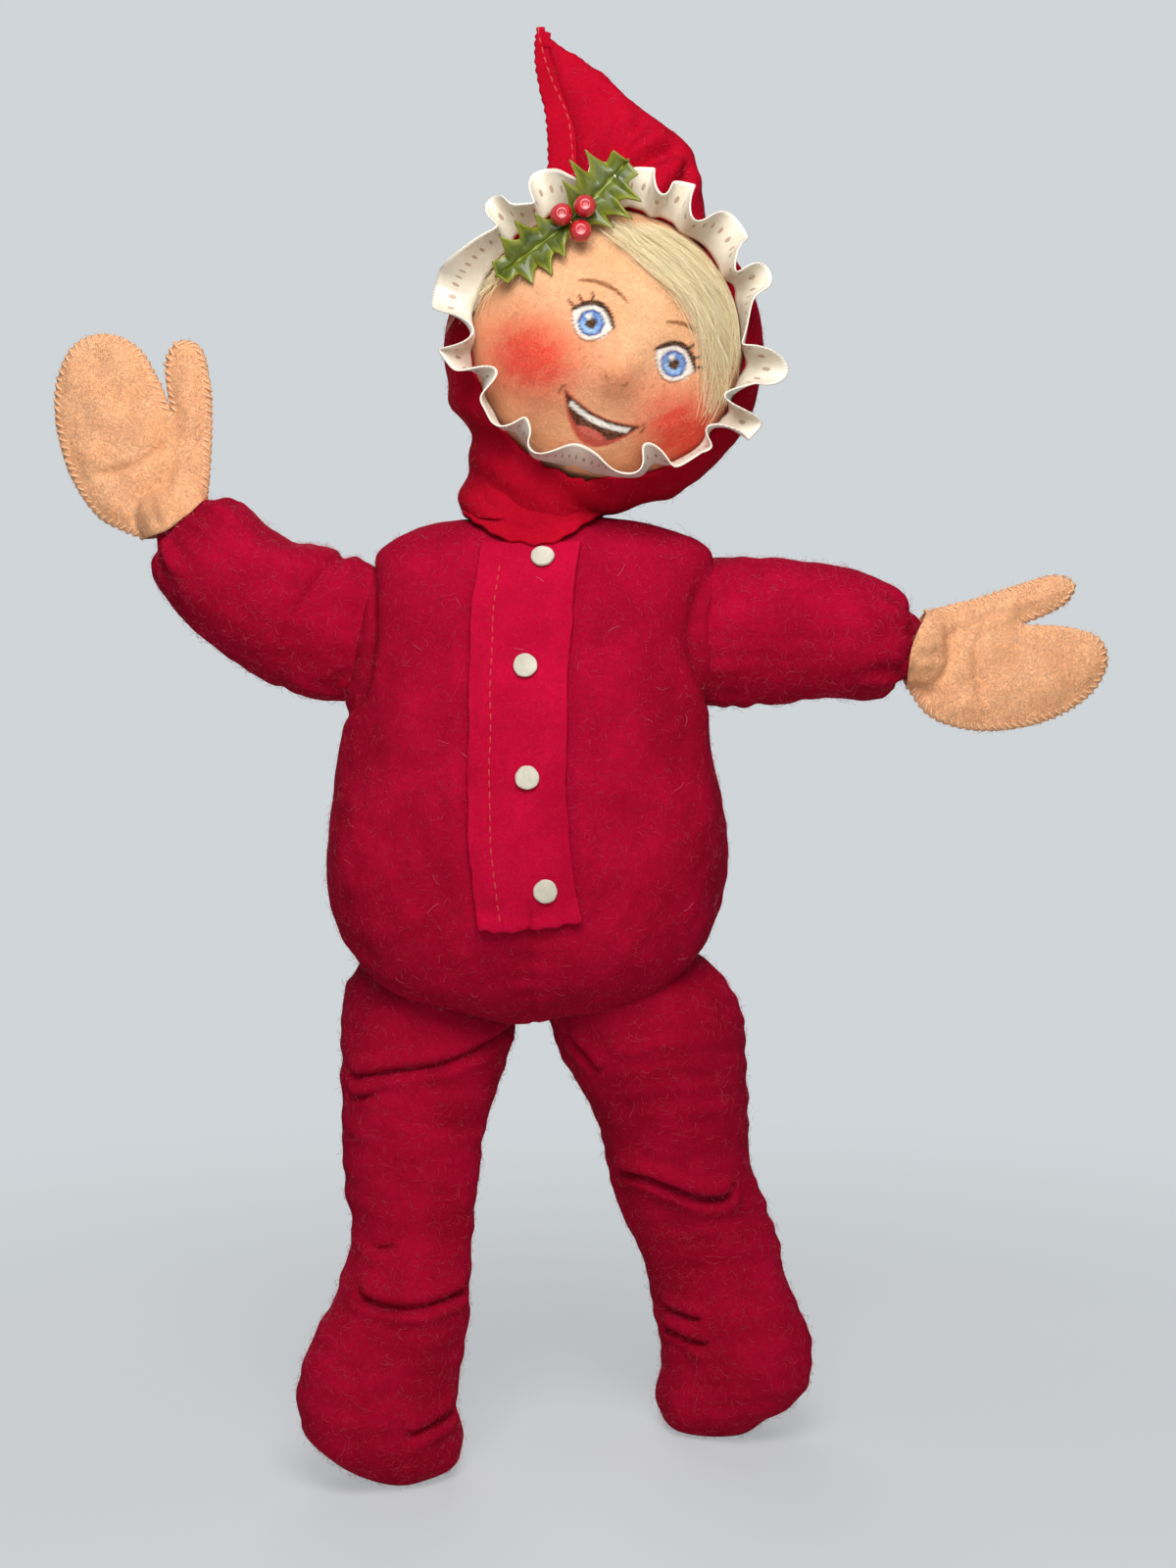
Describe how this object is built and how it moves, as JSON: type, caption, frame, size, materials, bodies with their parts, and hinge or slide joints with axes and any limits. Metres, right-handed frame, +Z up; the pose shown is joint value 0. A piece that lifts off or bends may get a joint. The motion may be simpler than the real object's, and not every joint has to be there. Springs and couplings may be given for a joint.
{
  "type": "felt doll",
  "caption": "Stuffed felt doll in a hooded red suit with a ruffled hood, mitten hands and turned-out feet, jointed by the bendable wire inside it.",
  "frame": {"origin": "on the floor under the middle of the doll's outline", "axes": "+Z up, the doll faces -Y, its left side is at +X"},
  "size_m": [0.3794, 0.1186, 0.5145],
  "materials": {
    "red_felt": "matte wool felt",
    "hood_felt": "matte wool felt",
    "flesh_felt": "matte wool felt",
    "white_felt": "matte wool felt",
    "ribbon": "satin gathered ribbon",
    "mohair": "soft loose hair",
    "filling": "loose fibre",
    "wire": "drawn soft wire",
    "leaf": "glossy moulded leaf",
    "berry": "glossy bead"
  },
  "bodies": {
    "torso": {"torso_skin": "red_felt", "torso_filling": "filling", "shoulder_wire": "wire", "hip_wire": "wire", "placket": "red_felt", "button_1": "white_felt", "button_2": "white_felt", "button_3": "white_felt", "button_4": "white_felt", "neckband": "hood_felt"},
    "neck": {"neck_core": "filling", "neck_wire": "wire"},
    "head": {"face": "flesh_felt", "head_filling": "filling", "hood": "hood_felt", "ruffle": "ribbon", "hair": "mohair", "holly_leaf_1": "leaf", "holly_leaf_2": "leaf", "holly_stem": "leaf", "berry_1": "berry", "berry_2": "berry", "berry_3": "berry"},
    "right_upper_arm": {"right_upper_arm_skin": "red_felt", "right_upper_arm_filling": "filling", "right_upper_arm_wire": "wire"},
    "right_forearm": {"right_forearm_skin": "red_felt", "right_forearm_filling": "filling", "right_forearm_wire": "wire"},
    "right_thigh": {"right_thigh_skin": "red_felt", "right_thigh_filling": "filling", "right_thigh_wire": "wire"},
    "right_shin": {"right_shin_skin": "red_felt", "right_shin_filling": "filling", "right_shin_wire": "wire"},
    "right_foot": {"right_foot_skin": "red_felt", "right_foot_filling": "filling", "right_foot_wire": "wire"},
    "right_hand": {"right_hand_palm": "flesh_felt", "right_hand_back": "flesh_felt", "right_hand_wire": "wire"},
    "left_upper_arm": {"left_upper_arm_skin": "red_felt", "left_upper_arm_filling": "filling", "left_upper_arm_wire": "wire"},
    "left_forearm": {"left_forearm_skin": "red_felt", "left_forearm_filling": "filling", "left_forearm_wire": "wire"},
    "left_thigh": {"left_thigh_skin": "red_felt", "left_thigh_filling": "filling", "left_thigh_wire": "wire"},
    "left_shin": {"left_shin_skin": "red_felt", "left_shin_filling": "filling", "left_shin_wire": "wire"},
    "left_foot": {"left_foot_skin": "red_felt", "left_foot_filling": "filling", "left_foot_wire": "wire"},
    "left_hand": {"left_hand_palm": "flesh_felt", "left_hand_back": "flesh_felt", "left_hand_wire": "wire"}
  },
  "joints": [
    {"name": "neck_tilt", "type": "hinge", "parent": "torso", "child": "neck", "pos_m": [-0.01982, 0.00582, 0.33817], "axis": [0, 1, 0], "range_deg": [-18, 3]},
    {"name": "head_turn", "type": "hinge", "parent": "neck", "child": "head", "pos_m": [-0.01982, 0.00582, 0.33817], "axis": [0.4226, 0, 0.9063], "range_deg": [-45, 45]},
    {"name": "right_shoulder", "type": "hinge", "parent": "torso", "child": "right_upper_arm", "pos_m": [-0.08582, 0.00582, 0.29717], "axis": [0, 1, 0], "range_deg": [-61, 19]},
    {"name": "right_elbow", "type": "hinge", "parent": "right_upper_arm", "child": "right_forearm", "pos_m": [-0.11998, 0.00582, 0.31383], "axis": [0, 1, 0], "range_deg": [-42, 26]},
    {"name": "right_wrist", "type": "hinge", "parent": "right_forearm", "child": "right_hand", "pos_m": [-0.14444, 0.00582, 0.33744], "axis": [0.9135, 0, 0.4067], "range_deg": [-44, 44]},
    {"name": "left_shoulder", "type": "hinge", "parent": "torso", "child": "left_upper_arm", "pos_m": [0.04618, 0.00582, 0.29717], "axis": [0, 1, 0], "range_deg": [-45, 35]},
    {"name": "left_elbow", "type": "hinge", "parent": "left_upper_arm", "child": "left_forearm", "pos_m": [0.08418, 0.00582, 0.29717], "axis": [0, 1, 0], "range_deg": [-53, 15]},
    {"name": "left_wrist", "type": "hinge", "parent": "left_forearm", "child": "left_hand", "pos_m": [0.11776, 0.00582, 0.29185], "axis": [0, 0, 1], "range_deg": [-44, 44]},
    {"name": "right_hip", "type": "hinge", "parent": "torso", "child": "right_thigh", "pos_m": [-0.05532, 0.01382, 0.16417], "axis": [-0.9966, 0, 0.0829], "range_deg": [-47, 49]},
    {"name": "right_knee", "type": "hinge", "parent": "right_thigh", "child": "right_shin", "pos_m": [-0.06022, -0.00514, 0.10534], "axis": [-0.9966, 0, 0.0829], "range_deg": [-79, 7]},
    {"name": "right_ankle", "type": "hinge", "parent": "right_shin", "child": "right_foot", "pos_m": [-0.06432, -0.02104, 0.056], "axis": [-0.5, 0.866, 0], "range_deg": [-24, 24]},
    {"name": "left_hip", "type": "hinge", "parent": "torso", "child": "left_thigh", "pos_m": [0.01568, 0.01382, 0.16417], "axis": [0.9565, 0, 0.2918], "range_deg": [-74, 22]},
    {"name": "left_knee", "type": "hinge", "parent": "left_thigh", "child": "left_shin", "pos_m": [0.03362, 0.02165, 0.10534], "axis": [0.9565, 0, 0.2918], "range_deg": [-7, 79]},
    {"name": "left_ankle", "type": "hinge", "parent": "left_shin", "child": "left_foot", "pos_m": [0.04868, 0.02821, 0.056], "axis": [0.5, 0.866, 0], "range_deg": [-24, 24]}
  ]
}
